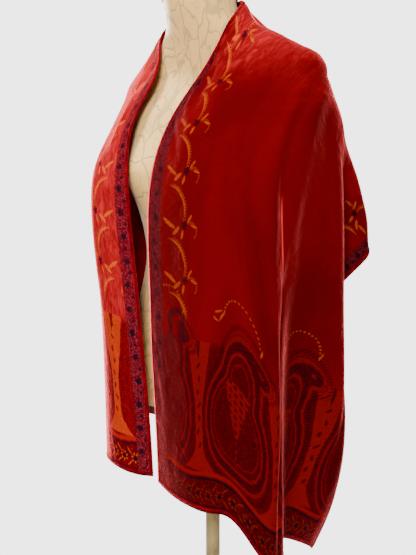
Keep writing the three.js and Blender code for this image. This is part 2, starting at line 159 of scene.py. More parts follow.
# The dress form: height, half width, middle (forward of the pole), depth before and behind,
# in mm.
FORM_BOTTOM = 0.8
FORM_TOP = 1.455
NECK_FORWARD = 0.034
FORM_ROWS = metres([
    [800, 148, 0, 100, 104],
    [870, 154, 0, 103, 112],
    [950, 140, 0, 98, 98],
    [1050, 117, 0, 90, 82],
    [1120, 129, 0, 98, 92],
    [1175, 144, 0, 110, 103],
    [1230, 160, -5, 108, 105],
    [1280, 182, -12, 98, 92],
    [1315, 196, -20, 82, 72],
    [1340, 190, -22, 72, 60],
    [1368, 152, -18, 70, 50],
    [1393, 108, -6, 64, 46],
    [1415, 76, 10, 61, 52],
    [1435, 62, 26, 60, 56],
    [1455, 59, 34, 59, 59],
])
BUST_OUT = 0.026
BUST_APART = 0.074
BUST_WIDTH = 0.046
BUST_HEIGHT = 0.052
BUST_LEVEL = 1.17
TORSO_SQUARENESS = 2.25
NECK_BASE = 1.38
NECK_BLEND = 0.05


def smoothstep(value, low, high):
    """0 below low, 1 above high, and 3x^2 - 2x^3 between."""
    x = np.clip((value - low) / (high - low), 0, 1)
    return x * x * (3 - 2 * x)


def smooth_rows(knots, rows, at):
    """A cubic Hermite curve through rows at the knots, its slopes weighted from both sides."""
    knots = np.asarray(knots, float)
    rows = np.asarray(rows, float)
    at = np.asarray(at, float)
    flat = rows.reshape(len(rows), -1)
    step = np.diff(knots)
    rise = np.diff(flat, axis=0) / step[:, None]
    slope = np.empty_like(flat)
    slope[0], slope[-1] = rise[0], rise[-1]
    before, after = step[:-1, None], step[1:, None]
    slope[1:-1] = (rise[:-1] * after + rise[1:] * before) / (before + after)
    i = np.clip(np.searchsorted(knots, at.ravel(), side="right") - 1, 0, len(knots) - 2)
    x = ((at.ravel() - knots[i]) / step[i])[:, None]
    y = 1 - x
    h = step[i][:, None]
    value = flat[i] * (1 + 2 * x) * y * y + slope[i] * h * x * y * y
    value = value + flat[i + 1] * x * x * (3 - 2 * x) - slope[i + 1] * h * x * x * y
    return value.reshape(at.shape + rows.shape[1:])


def between(table, first, second):
    """Bilinear reading of a table at fractional places along its first two axes."""
    i = first.astype(int)
    j = second.astype(int)
    a = (first - i)[..., None]
    b = (second - j)[..., None]
    low = table[i, j] * (1 - b) + table[i, j + 1] * b
    high = table[i + 1, j] * (1 - b) + table[i + 1, j + 1] * b
    return low * (1 - a) + high * a


# A hang line is tabulated at 5 mm steps of its length, and there is one for each 0.01 of turn.
TURN_STEP = 0.01
TURNS = TURN_STEP * np.arange(301)
LENGTH_STEP = 0.005
LENGTHS = LENGTH_STEP * np.arange(201)
JUST_INSIDE = 0.001
# A path's steps, the power of a chord that sets its pace between two points, and the turn from
# which the length to the shoulder's tip is tied.
PATH_STEPS = 260
PACE = 0.7
TIE_FROM = 0.5


def measured_path(points, lengths, pinned=None):
    """Points at lengths along a smooth path. pinned = (index, length) ties one point's length."""
    chords = np.linalg.norm(np.diff(points, axis=0), axis=1)
    knots = np.concatenate([[0], np.cumsum(chords**PACE)])
    places = np.linspace(0, knots[-1], PATH_STEPS + 1)
    fine = smooth_rows(knots, points, places)
    arc = np.concatenate([[0], np.cumsum(np.linalg.norm(np.diff(fine, axis=0), axis=1))])
    if pinned:
        index, length = pinned
        reached = np.interp(knots[index], places, arc)
        arc = np.where(arc < reached, arc * length / reached, arc - reached + length)
    return np.stack([np.interp(lengths, arc, fine[:, c]) for c in range(3)], axis=1)


def hang_table(half):
    """Points [turn, length] of one half: from the neck over the shoulder, then down."""
    line_turns, line_rows = zip(*half["lines"])
    line_rows = [pairs + pairs[-1:] * (len(HEIGHTS) - len(pairs)) for pairs in line_rows]
    below = smooth_rows(line_turns, metres(line_rows), TURNS)
    yoke_turns, yoke_rows = zip(*YOKE_LINES)
    above = smooth_rows(yoke_turns, metres(yoke_rows), np.minimum(TURNS, 1))
    tip = metres(yoke_rows[-1][2])
    hanging = [np.column_stack([flat, HEIGHTS]) for flat in below]
    tie = (2, half["across"])
    last_yoke = int(round(1 / TURN_STEP))
    seam = measured_path(np.vstack([above[last_yoke], hanging[last_yoke]]), LENGTHS, tie)
    table = []
    for turn, yoke, hang in zip(TURNS, above, hanging):
        if turn <= 1 + 1e-9:
            points = np.vstack([yoke, hang])
            free = measured_path(points, LENGTHS)
            tied = measured_path(points, LENGTHS, tie)
            w = min(max((turn - TIE_FROM) / (1 - TIE_FROM), 0), 1)
            table.append(free * (1 - w) + tied * w)
            continue
        start = tip
        if turn > 2:
            reach = half["across"] * (3 - turn)
            start = [np.interp(reach, LENGTHS, seam[:, c]) for c in range(3)]
        table.append(measured_path(np.vstack([start, hang]), LENGTHS - half["across"]))
    return np.array(table)


def hang_place(half, along, across):
    """The hang line of each cloth point and how far down it: behind the shoulder the lines
    leave the neck, at its tip they fan out, and in front they leave the seam."""
    x = np.clip(across / half["across"], 0, 1)
    reach = half["collar"] * (1 - x) + half["along"] * x - half["ease"] * 4 * x * (1 - x)
    ahead = along - half["along"]
    outward = across - half["across"]
    radius = np.hypot(ahead, outward)
    spread = 1 - (1 - FAN_SPREAD) * (1 - smoothstep(radius, FAN_START, FAN_END))
    angle = np.clip(np.arctan2(ahead, outward) / (math.pi / 2), 0, 1)
    behind = along <= reach
    front = ~behind & (across <= half["across"])
    turn = np.where(front, 3 - across / half["across"], 1 + angle**spread)
    turn = np.where(behind, along / reach, turn)
    down = np.where(front, along - reach, radius)
    drop = smooth_rows(half["sag_turns"], half["sag_drops"], np.clip(turn, 1, 3))
    length = half["across"] + down + drop * smoothstep(down, SAG_START, SAG_END)
    return turn, np.where(behind, across, length)


def form_section(z):
    """Half width, middle, front and back depth of the dress form at each height."""
    section = smooth_rows(FORM_ROWS[:, 0], FORM_ROWS[:, 1:], np.clip(z, FORM_BOTTOM, FORM_TOP))
    return np.moveaxis(section, -1, 0)


def bust(x, z):
    """Two round mounds, each a bell curve across and up."""
    across = (np.abs(x) - BUST_APART) / BUST_WIDTH
    up = (z - BUST_LEVEL) / BUST_HEIGHT
    return BUST_OUT * np.exp(-across * across - up * up)


def squareness(z):
    """The power of the form's section: 2 is an ellipse, as at the neck."""
    w = np.clip((z - NECK_BASE) / NECK_BLEND, 0, 1)
    return TORSO_SQUARENESS * (1 - w) + 2 * w


def form_level(x, y, z):
    """The power-ellipse value of a point less 1: below zero inside the dress form."""
    half, middle, front, back = form_section(z)
    ahead = -y - middle
    depth = np.where(ahead > 0, front + bust(x, z), back)
    power = squareness(z)
    return (np.abs(x / half) ** power + np.abs(ahead / depth) ** power) ** (1 / power) - 1


# The step that measures the form's slope, and how far below the form the cloth still feels it.
PROBE = 0.001
BELOW_FORM = 0.02


def pushed_out(points, clear):
    """The points moved straight out of the dress form until they stand clear of it."""
    x, y, z = np.moveaxis(points, -1, 0)
    h = PROBE
    slope = np.stack([
        form_level(x + h, y, z) - form_level(x - h, y, z),
        form_level(x, y + h, z) - form_level(x, y - h, z),
        form_level(x, y, z + h) - form_level(x, y, z - h),
    ], axis=-1) / (2 * h)
    size = np.linalg.norm(slope, axis=-1)
    distance = form_level(x, y, z) / size
    push = np.where(z > FORM_BOTTOM - BELOW_FORM, np.maximum(0, clear - distance), 0)
    return points + (push / size)[..., None] * slope


CHEST_GAP = 0.0042
SHOULDER_GAP = 0.0017
SHOULDER_HEIGHTS = (1.3, 1.345)


def clearance(z):
    """How far the cloth's middle stays off the form: more on the shoulders than the chest."""
    return CHEST_GAP + SHOULDER_GAP * smoothstep(z, *SHOULDER_HEIGHTS)


def eased(points, share):
    """Each point moved part of the way to the middle of its neighbours, both ways."""
    move = np.zeros_like(points)
    move[1:-1] += (points[:-2] + points[2:]) / 2 - points[1:-1]
    move[:, 1:-1] += (points[:, :-2] + points[:, 2:]) / 2 - points[:, 1:-1]
    return points + share * move / 2


SETTLE_ROUNDS = 18
SETTLE_SHARE = 0.35


def cloth_grid(rows, cols):
    """The place along and across the cloth of each point of an even grid."""
    along, across = np.linspace(-HALF, HALF, rows), np.linspace(0, SCARF_WIDTH, cols)
    return np.meshgrid(along, across, indexing="ij")


def settled_cloth():
    """The cloth's points on the coarse grid: each hang place read from its half's table, then
    rounds of easing that also keep it clear of the form."""
    along, across = cloth_grid(*COARSE)
    sides = []
    for half, side in ((LEFT, 1), (RIGHT, -1)):
        turn, length = hang_place(half, np.abs(along), across)
        first = np.clip(turn / TURN_STEP, 0, len(TURNS) - 1 - JUST_INSIDE)
        second = np.clip(length / LENGTH_STEP, 0, len(LENGTHS) - 1 - JUST_INSIDE)
        x, forward, z = np.moveaxis(between(hang_table(half), first, second), -1, 0)
        sides.append(np.stack([side * x, -forward, z], axis=-1))
    points = np.where((along >= 0)[..., None], sides[0], sides[1])
    for _ in range(SETTLE_ROUNDS):
        high = clearance(points[..., 2])
        points = pushed_out(eased(points, SETTLE_SHARE), high)
    return points


def refined(points, rows, cols):
    """The grid read on finer even steps by cubic curves, first along and then across."""
    for count in (rows, cols):
        places = np.linspace(0, len(points) - 1, count)
        points = np.swapaxes(smooth_rows(np.arange(len(points)), points, places), 0, 1)
    return points


def unit(vectors):
    """The vectors, each made one long."""
    return vectors / np.linalg.norm(vectors, axis=-1, keepdims=True)


def round_angles(count):
    """Evenly spaced angles, once round."""
    return np.linspace(0, 2 * math.pi, count, endpoint=False)


def outward_normals(points):
    """Unit normals of a grid that point away from the form."""
    along = np.gradient(points, axis=0)
    across = np.gradient(points, axis=1)
    return unit(np.cross(across, along))


# Creases pressed and worn into the cloth: the two ends (along, across), half width,
# and height out of the cloth, below zero for a trough, in mm. They are uneven on purpose.
CREASES = metres([
    # Pull folds from the left shoulder's tip down into the two long ridges.
    (150, 215, 600, 262, 11, 4.2),
    (160, 235, 520, 300, 12, -4),
    (170, 190, 440, 196, 14, 2.6),
    (200, 160, 400, 150, 15, -2.2),
    (150, 245, 420, 345, 13, 3.4),
    (140, 270, 340, 420, 15, -2.8),
    (420, 272, 840, 280, 10, 3.2),
    (460, 425, 840, 440, 11, 3),
    (360, 470, 700, 486, 14, -3),
    # The near neck edge, where the roll buckles.
    (75, 0, 120, 85, 8, 5.2),
    (100, 0, 150, 75, 7, -4.8),
    (130, 0, 175, 66, 7, 4.6),
    (160, 4, 205, 60, 8, -3.8),
    (200, 30, 280, 52, 10, 3.4),
    (240, 14, 330, 75, 8, -3),
    (300, 10, 370, 60, 7, 2.6),
    (55, 100, 135, 150, 12, 5),
    (50, 30, 100, 135, 7, -3.4),
    (70, 140, 120, 190, 10, -3.6),
    # The near front's ridge, worn sharp, and the slack beside it.
    (340, 239, 540, 275, 7, 3.6),
    (460, 269, 930, 271, 6.5, 4),
    (360, 222, 540, 250, 12, -1.8),
    (460, 246, 930, 250, 12, -2.2),
    # Soft waves in the near front.
    (340, 40, 620, 64, 20, 2),
    (400, 110, 780, 120, 24, -2),
    (520, 165, 800, 176, 18, 2.2),
    (600, 20, 860, 30, 14, -1.6),
    # The far front and its pull folds.
    (-200, 205, -600, 250, 12, 4),
    (-220, 235, -520, 300, 13, -3.8),
    (-230, 170, -500, 160, 16, 2.4),
    (-300, 100, -700, 92, 18, -2.6),
    (-420, 50, -800, 46, 13, 3),
    (-240, 60, -460, 30, 10, -2.4),
    (-190, 10, -250, 70, 9, 3),
    (-140, 4, -200, 75, 9, -2.8),
    (-440, 330, -840, 352, 14, 3.4),
    (-360, 430, -760, 450, 15, -3.2),
    # The back: falls from the neck and the blades, and slack across the middle.
    (-30, 50, -55, 420, 20, 3.4),
    (45, 80, 60, 500, 22, -3.4),
    (100, 200, 120, 510, 16, 3.2),
    (-105, 180, -130, 510, 18, -3),
    (0, 220, 8, 510, 16, 2.6),
    (-60, 30, 50, 35, 10, 2.6),
    (-80, 70, 90, 80, 14, -2),
    (170, 300, 205, 515, 15, -3.6),
    (235, 330, 290, 515, 14, 3.4),
    (-200, 320, -245, 515, 15, 3.4),
    (-290, 330, -330, 515, 14, -3.4),
])


# How far a crease sways, as a share of its width, the angle that its waves run through over its
# length, and the angle that they start from for each metre along the cloth.
SWAY = (0.35, 11, 40)
# Where a crease swells and where it fades, as shares of its length.
SWELL = (-0.15, 0.3)
FADE = (0.6, 1.12)


def creased(points, along, across):
    """The cloth lifted by every crease: a bell curve over the distance from its line, which
    fades at both ends and sways a little, so that no crease is straight."""
    lift = np.zeros_like(along)
    for a0, c0, a1, c1, width, height in CREASES:
        run = np.array([a1 - a0, c1 - c0])
        length = np.hypot(*run)
        run = run / length
        x = (along - a0) * run[0] + (across - c0) * run[1]
        y = -(along - a0) * run[1] + (across - c0) * run[0]
        y = y + SWAY[0] * width * np.sin(SWAY[1] * x / length + SWAY[2] * a0)
        fade = smoothstep(x / length, *SWELL) * (1 - smoothstep(x / length, *FADE))
        lift += height * fade * np.exp(-((y / width) ** 2))
    return points + lift[..., None] * outward_normals(points)


def link(name, points, faces, *finishes):
    """A linked mesh object from points and faces, its place in its mesh."""
    mesh = bpy.data.meshes.new(name)
    mesh.from_pydata(points.reshape(-1, 3).tolist(), [], faces)
    mesh.validate()
    mesh.update()
    mesh.shade_smooth()
    for finish in finishes:
        mesh.materials.append(finish)
    piece = bpy.data.objects.new(name, mesh)
    bpy.context.scene.collection.objects.link(piece)
    return piece


def grid_faces(rows, cols, wrap_cols=False):
    """Quads of a rows by cols grid, the last column joined to the first if it wraps."""
    i = np.arange(rows - 1)[:, None]
    j = np.arange(cols if wrap_cols else cols - 1)[None, :]
    k = (j + 1) % cols
    quads = np.stack([i * cols + j, i * cols + k, (i + 1) * cols + k, (i + 1) * cols + j], axis=-1)
    return quads.reshape(-1, 4)


def add_uv(piece, u, v):
    """A UV map named cloth from one u and one v for each vertex."""
    layer = piece.data.uv_layers.new(name="cloth")
    corner = np.empty(len(piece.data.loops), np.int32)
    piece.data.loops.foreach_get("vertex_index", corner)
    layer.data.foreach_set("uv", np.stack([u.ravel()[corner], v.ravel()[corner]], axis=1).ravel())


def ring_solid(name, rings, finish):
    """A closed solid from rings of points stacked bottom to top, each end one flat face."""
    rows, cols = rings.shape[:2]
    faces = grid_faces(rows, cols, wrap_cols=True).tolist()
    faces.append(list(range(cols))[::-1])
    faces.append(list(range((rows - 1) * cols, rows * cols)))
    return link(name, rings, faces, finish)


TURNED_SIDES = 128


def turned_solid(name, profile, finish, forward):
    """A profile of (radius, height) carried round an upright axis."""
    profile = np.asarray(profile, float)
    angle = round_angles(TURNED_SIDES)
    x = profile[:, :1] * np.cos(angle)
    y = profile[:, :1] * np.sin(angle) - forward
    z = profile[:, 1:] + np.zeros(TURNED_SIDES)
    return ring_solid(name, np.stack([x, y, z], axis=-1), finish)


def rounded(profile, radius, steps=5):
    """A profile with each inner corner replaced by a quadratic arc that starts and ends at
    radius from the corner, or nearly half way along a shorter side."""
    half_way = 0.45
    profile = [np.array(p, float) for p in profile]
    out = [profile[0]]
    for before, corner, after in zip(profile, profile[1:], profile[2:]):
        a, b = before - corner, after - corner
        la, lb = np.linalg.norm(a), np.linalg.norm(b)
        start = corner + a / la * min(radius, half_way * la)
        end = corner + b / lb * min(radius, half_way * lb)
        for w in np.linspace(0, 1, steps):
            out.append(start * (1 - w) ** 2 + corner * 2 * w * (1 - w) + end * w * w)
    return out + [profile[-1]]


class Value:
    """A number in a material that varies over the surface, built up with plain arithmetic. The
    class keeps the node tree that is being built."""

    tree = None

    def __init__(self, socket):
        self.socket = socket

    @classmethod
    def math(cls, operation, *terms):
        return cls(add_node("Math", dict(enumerate(terms)), operation=operation).outputs[0])

    def __add__(self, other):
        return Value.math("ADD", self, other)

    __radd__ = __add__

    def __sub__(self, other):
        return Value.math("SUBTRACT", self, other)

    def __rsub__(self, other):
        return Value.math("SUBTRACT", other, self)

    def __mul__(self, other):
        return Value.math("MULTIPLY", self, other)

    __rmul__ = __mul__

    def __truediv__(self, other):
        return Value.math("DIVIDE", self, other)

    def __neg__(self):
        return Value.math("MULTIPLY", self, -1.0)


def feed(socket, term):
    """An input set to a number or a colour of three numbers, or linked to what works it out."""
    if isinstance(term, Value):
        term = term.socket
    if isinstance(term, bpy.types.NodeSocket):
        Value.tree.links.new(term, socket)
    else:
        socket.default_value = (*term, 1) if isinstance(term, tuple) else term


def add_node(kind, inputs, **settings):
    """A node of the material being built, with its settings and its inputs by name or number."""
    node = Value.tree.nodes.new("ShaderNode" + kind)
    for name, setting in settings.items():
        setattr(node, name, setting)
    for name, term in inputs.items():
        feed(node.inputs[name], term)
    return node


def least(a, b):
    return Value.math("MINIMUM", a, b)


def most(a, b):
    return Value.math("MAXIMUM", a, b)


def size_of(a):
    return Value.math("ABSOLUTE", a)


def sine(a):
    return Value.math("SINE", a)


def distance(x, y):
    return Value.math("SQRT", x * x + y * y)


def bearing(y, x):
    """The angle at which a place lies from its middle."""
    return Value.math("ARCTAN2", y, x)


def repeat(a, period):
    """The place within a repeat, from -period/2 to period/2."""
    return Value.math("FLOORED_MODULO", a + period / 2, period) - period / 2


def blend_in(value, low, high):
    """0 where value is below low, 1 above high, smooth between."""
    inputs = {"Value": value, "From Min": low, "From Max": high}
    return Value(add_node("MapRange", inputs, interpolation_type="SMOOTHSTEP").outputs["Result"])


def blend_out(value, low, high):
    return 1.0 - blend_in(value, low, high)


def line(value, half, soft):
    """1 where value is within half of zero, with a soft edge."""
    return blend_out(size_of(value), half - soft, half + soft)


def turned_in(x, y, at, length, width, angle):
    """A place measured from a point along and across a turned ellipse, in its half axes."""
    dx, dy = x - at[0], y - at[1]
    c, s = math.cos(angle), math.sin(angle)
    return (dx * c + dy * s) / length, (dy * c - dx * s) / width


def petals(x, y, table):
    """Soft-edged ellipses: each row is the middle, half length, half width and angle."""
    shown = None
    for row in table:
        u, v = turned_in(x, y, *row)
        petal = blend_out(u * u + v * v, 0.55, 1.25)
        shown = petal if shown is None else most(shown, petal)
    return shown


def spaced_round(x, y, waves, low, high):
    """Marks spaced evenly by angle: a sine of the angle times waves, cut between low and high."""
    return blend_in(sine(bearing(y, x) * waves), low, high)


def flower_radius(x, y, depth):
    """Distance from a flower's middle, shortened where its five petals reach out."""
    return distance(x, y) / (1.0 + depth * Value.math("COSINE", bearing(y, x) * 5.0))


def noise(vector, scale, detail=2.0, roughness=0.5, distortion=0.0):
    inputs = {"Vector": vector, "Scale": scale, "Detail": detail, "Roughness": roughness}
    return Value(add_node("TexNoise", inputs | {"Distortion": distortion}).outputs["Fac"])


def cells(vector, scale, feature, randomness):
    inputs = {"Vector": vector, "Scale": scale, "Randomness": randomness}
    return Value(add_node("TexVoronoi", inputs, feature=feature).outputs["Distance"])


def vector_of(x, y, z=0.0):
    return add_node("CombineXYZ", {0: x, 1: y, 2: z}).outputs[0]


def parts_of(vector):
    return [Value(socket) for socket in add_node("SeparateXYZ", {0: vector}).outputs]


def tint(below, above, share):
    """A colour over another by a share. Each colour is a socket or three numbers."""
    node = add_node("Mix", {"Factor": share}, data_type="RGBA", clamp_factor=True)
    for socket, colour in zip([s for s in node.inputs if s.type == "RGBA"], (below, above)):
        feed(socket, colour)
    return next(s for s in node.outputs if s.type == "RGBA")


def laid_over(colour, layers):
    """A colour under a row of others, each with the share that it is laid on by."""
    for above, share in layers:
        colour = tint(colour, above, share)
    return colour


def scaled(colour, share):
    """A colour made lighter or darker by a number that varies."""
    return add_node("VectorMath", {0: colour, "Scale": share}, operation="SCALE").outputs[0]


def bump(height, depth, strength=1.0, below=None):
    """Normals of a relief of the given depth in metres, over those below it."""
    inputs = {"Distance": depth, "Strength": strength, "Height": height}
    if below is not None:
        inputs["Normal"] = below
    return add_node("Bump", inputs).outputs["Normal"]


def material(name, finish):
    """A material whose finish works out the inputs of its Principled shader."""
    made = bpy.data.materials.new(name)
    made.use_nodes = True
    Value.tree = made.node_tree
    shader = made.node_tree.nodes["Principled BSDF"]
    for socket, term in finish().items():
        feed(shader.inputs[socket], term)
    return made


def object_place():
    return add_node("TexCoord", {}).outputs["Object"]


def cloth_map():
    """The two numbers of a cloth piece's own map."""
    return parts_of(add_node("UVMap", {}, uv_map="cloth").outputs[0])[:2]


# Velvet colours.
CRIMSON = (0.34, 0.001, 0.006)
CRIMSON_DEEP = (0.235, 0.0005, 0.004)
MAROON = (0.085, 0.0008, 0.005)
PLUM = (0.11, 0.0024, 0.008)
LILAC = (0.56, 0.075, 0.11)
INK = (0.012, 0.003, 0.012)
ORANGE = (0.8, 0.105, 0.01)
FLAME = (0.44, 0.0055, 0.0025)
CHERRY = (0.38, 0.0035, 0.006)
# Painted sheen: the pink laid where the velvet is painted as lit.
BRUSHED_ROSE = (0.92, 0.05, 0.052)

# The print, in metres of cloth. Each of its layers yields colours with their shares.
# How far noise sways the outlines, and how coarsely.
PRINT_SWAY = 0.0036
SWAY_SCALE = 80.0
# The band along the long edges and its flowers, and how much of it the collar turns under.
BAND_FROM = 0.006
BAND_TO = 0.028
BAND_SOFT = 0.0014
BAND_FLOWER_PITCH = 0.037
BAND_FLOWER_AT = 0.0175
BAND_BUD_AT = 0.012
TURNED_UNDER = 0.032
# The sprigs beside the band: their flower, the crescent and dots round the crescent's middle,
# and the leaves.
SPRIG_PITCH = 0.0785
SPRIG_AT = 0.078
SPRIG_LOW = 0.018
CRESCENT_MIDDLE = (-0.034, 0.02)
CRESCENT_RADIUS = 0.0355
FRINGE_RADIUS = 0.0385
FAR_MIDDLE = (0.016, -0.006)
FAR_RADIUS = 0.0115
DOT_LINE = (0.0012, 0.0006)
SPRIG_LEAVES = [
    ((-0.033, -0.001), 0.0135, 0.0033, -0.5),
    ((-0.0185, -0.01), 0.01, 0.0031, 0.7),
    ((-0.0045, -0.014), 0.007, 0.0026, 1.25),
    ((0.012, 0.0105), 0.008, 0.0021, 0.95),
    ((0.0215, 0.0005), 0.008, 0.0019, -0.25),
]
# Heights from the end hem: the sprigs' end, the dark panel's top, and the hem's own band.
END_TOP = 0.3
PANEL_TOP = 0.245
HEM_BAND = 0.046
HEM_FLOWER_PITCH = 0.024
HEM_FLOWER_HEIGHT = 0.025
HEM_FLOWER_RADIUS = 0.0062
HEM_STROKES = [((0.0, 0.01), 0.0072, 0.0013, 0.8), ((0.0, -0.009), 0.0066, 0.0013, -0.7)]
# The row of paisleys and flame shapes across each end, which the right end has further along.
PAISLEY_PITCH = 0.1435
PAISLEY_FOOT = 0.055
PAISLEY_START = (0.058, 0.064)
RIGHT_ROW_STEP = 0.042
BEAD_WAVES = 1050.0
# Depth inside a paisley's outline, half width and softness of each line that follows it.
BEAD_LINE = (-0.0042, 0.002, 0.0008)
BROAD_LINE = (0.0026, 0.002, 0.0007)
DARK_LINE = (0.008, 0.0027, 0.0009)
INNER_LINE = (0.0132, 0.0013, 0.0006)
FINE_LINE = (0.02, 0.0008, 0.0004)
HEART_DEPTH = (0.0165, 0.0175)
HEART_FOOT = 0.06
HEART_TOP = (0.14, 0.142)
# The flame shapes: foot and flare, waist, the widening above it, and the notch in the top.
VASE_AT = 0.108
VASE_FOOT = 0.058
VASE_FLARE = 0.098
VASE_WAIST = 0.0085
VASE_WIDENS = 0.15
VASE_NOTCH = 0.214
VASE_MARK = [((0.0, 0.0), 0.005, 0.0024, 1.2)]
VASE_MARK_PITCH = 0.019
# The dark arch by the left edge band, and the dotted arches with leaves over the paisleys.
ARCH_AT = (0.058, 0.266)
ARCH_RING = (0.0135, 0.0042, 0.0014)
DOTTED_RADIUS = 0.027
TIP_LEAVES = [
    ((-0.031, -0.004), 0.0085, 0.002, 1.0),
    ((-0.037, 0.003), 0.007, 0.0018, 0.2),
    ((-0.042, -0.008), 0.006, 0.0016, -0.7),
    ((0.03, -0.004), 0.0065, 0.0016, 1.3),
]
# The painted highlight on the near front's ridge: it slopes across the cloth, then runs level.
RIDGE_SLOPE = 0.18
RIDGE_START = 0.178
RIDGE_AT = 0.2695


def cloth_place():
    """A point's place along and across the cloth, and how far it is from the nearer end and
    from the nearer long edge."""
    u, v = cloth_map()
    along = u * SCARF_LENGTH - HALF
    across = v * SCARF_LENGTH
    return along, across, HALF - size_of(along), least(across, SCARF_WIDTH - across)


def print_places():
    """Where a point lies for every layer of the print. A name that ends in _w is swayed by
    noise, so that no outline is ruled. The noises that several layers share are here too."""
    p = SimpleNamespace()
    p.along, p.across, p.end, p.edge = cloth_place()
    p.place = vector_of(p.along, p.across)
    p.sway = noise(p.place, SWAY_SCALE, 2.0) - 0.5
    p.sway_too = noise(vector_of(p.across, p.along, 0.3), SWAY_SCALE, 2.0) - 0.5
    # At the left of the collar the neck edge is turned under, which takes its band out of sight.
    at_collar = blend_in(p.along, -0.09, -0.03) * blend_out(p.along, 0.11, 0.26)
    p.turned = TURNED_UNDER * at_collar * blend_out(p.across, 0.2, 0.26)
    p.edge_w = p.edge + p.turned + p.sway * PRINT_SWAY
    p.end_w = p.end + p.sway_too * PRINT_SWAY
    p.row = p.across + p.sway * PRINT_SWAY + RIGHT_ROW_STEP * blend_out(p.along, -0.001, 0.001)
    p.grain = noise(p.place, 2600.0, 1.0)
    p.mottle = noise(vector_of(p.along * 0.6, p.across * 1.6), 7.0, 3.0, 0.5, 0.4)
    p.curls = line(noise(p.place, 105.0, 2.0, 0.5, 1.6) - 0.5, 0.016, 0.014)
    p.curls_fine = line(noise(p.place, 210.0, 1.0, 0.5, 1.2) - 0.5, 0.02, 0.016)
    p.specks = blend_in(noise(p.place, 560.0, 1.0), 0.56, 0.66)
    slant = (p.end + p.edge * 0.6 + p.sway * 0.006) * 1500.0
    p.hatch = blend_in(sine(slant), 0.1, 0.8)
    p.worn_print = blend_in(noise(p.place, 320.0, 1.0), 0.3, 0.5)
    p.beads = blend_in(sine((p.end_w + p.edge_w * 0.8) * BEAD_WAVES), 0.0, 0.5)
    p.beads_across = blend_in(sine((p.end_w - p.edge_w * 0.8) * BEAD_WAVES), 0.0, 0.5)
    return p


def brush_pile(p):
    """How far the pile is painted with sheen at each point: the right half is painted lighter and
    pinker in streaks, as if lit, and the left half is left darker."""
    # The right half, which is painted as lit, with streaks of painted sheen.
    p.downward = blend_out(p.along, 0.04, 0.25)
    p.streaks = noise(vector_of(p.along * 0.45, p.across * 1.7), 95.0, 4.0, 0.6, 1.2)
    brushed = p.downward * (0.04 + 0.34 * blend_in(p.streaks, 0.34, 0.74))
    # The painted highlight along the near front's ridge: bright at its top, faint below.
    ridge = least(RIDGE_SLOPE * p.along + RIDGE_START, RIDGE_AT)
    on_fold = line(p.across - ridge, 0.001, 0.003) * blend_in(p.along, 0.355, 0.39)
    on_fold = on_fold * (0.22 + 0.78 * blend_out(p.along, 0.43, 0.5))
    p.on_fold = on_fold * blend_out(p.along, 0.8, 0.86)
    brushed = most(brushed, p.on_fold * (0.55 + 0.6 * p.streaks))
    # Painted highlights at the near collar: short bright patches.
    patches = noise(vector_of(p.along * 0.7, p.across * 1.2), 60.0, 3.0, 0.55, 1.0)
    crushed = blend_in(p.along, -0.05, 0.02) * blend_out(p.along, 0.15, 0.25)
    p.crushed = crushed * blend_out(p.across, 0.06, 0.19) * blend_in(patches, 0.4, 0.74)
    p.brushed = most(brushed, p.crushed * 0.3)


def sprigs(p):
    """Sprigs beside the edge band, above the end panel. Each is a crescent with dots outside
    it, which curls down to a dark flower, leaves round the flower, and a small dotted arc."""
    x = p.edge_w - SPRIG_AT
    y = repeat(p.end_w - 0.012 - SPRIG_LOW, SPRIG_PITCH) + SPRIG_LOW
    cx, cy = x - CRESCENT_MIDDLE[0], y - CRESCENT_MIDDLE[1]
    ring = distance(cx, cy)
    side = blend_in(cx, -0.004, 0.003) * blend_in(cy, -0.02, -0.014)
    taper = 0.0003 + 2.3 * most(cx, 0.0) * most(cy + 0.012, 0.0)
    crescent = size_of(ring - CRESCENT_RADIUS + taper * 0.5) - taper
    crescent = blend_out(crescent, -0.0005, 0.0005) * side
    fringe = line(ring - FRINGE_RADIUS, *DOT_LINE) * side * spaced_round(cx, cy, 52.0, -0.1, 0.5)
    bx, by = x - FAR_MIDDLE[0], y - FAR_MIDDLE[1]
    far = line(distance(bx, by) - FAR_RADIUS, *DOT_LINE) * blend_in(bx + by, -0.006, 0.0)
    far = far * spaced_round(bx, by, 20.0, -0.2, 0.5)
    drawn = most(most(crescent, fringe * 0.9), most(far * 0.85, petals(x, y, SPRIG_LEAVES)))
    above = blend_in(p.end, END_TOP - 0.035, END_TOP - 0.015)
    yield ORANGE, drawn * above * (0.42 + 0.48 * p.worn_print)
    yield INK, blend_out(flower_radius(x, y, 0.34), 0.0044, 0.0062) * above * 0.88


def end_panel(p):
    """The end panel: a dark ground with a filigree of fine curls and slanting hatches."""
    ground = laid_over(MAROON, [
        (CHERRY, most(p.curls * 0.7, p.curls_fine * 0.45)),
        (CHERRY, p.hatch * 0.18),
        # Specks of painted sheen.
        (BRUSHED_ROSE, p.brushed * p.specks * 0.5),
    ])
    panel = blend_out(p.end + p.sway * 0.02, PANEL_TOP - 0.012, PANEL_TOP + 0.002)
    yield ground, panel * 0.92


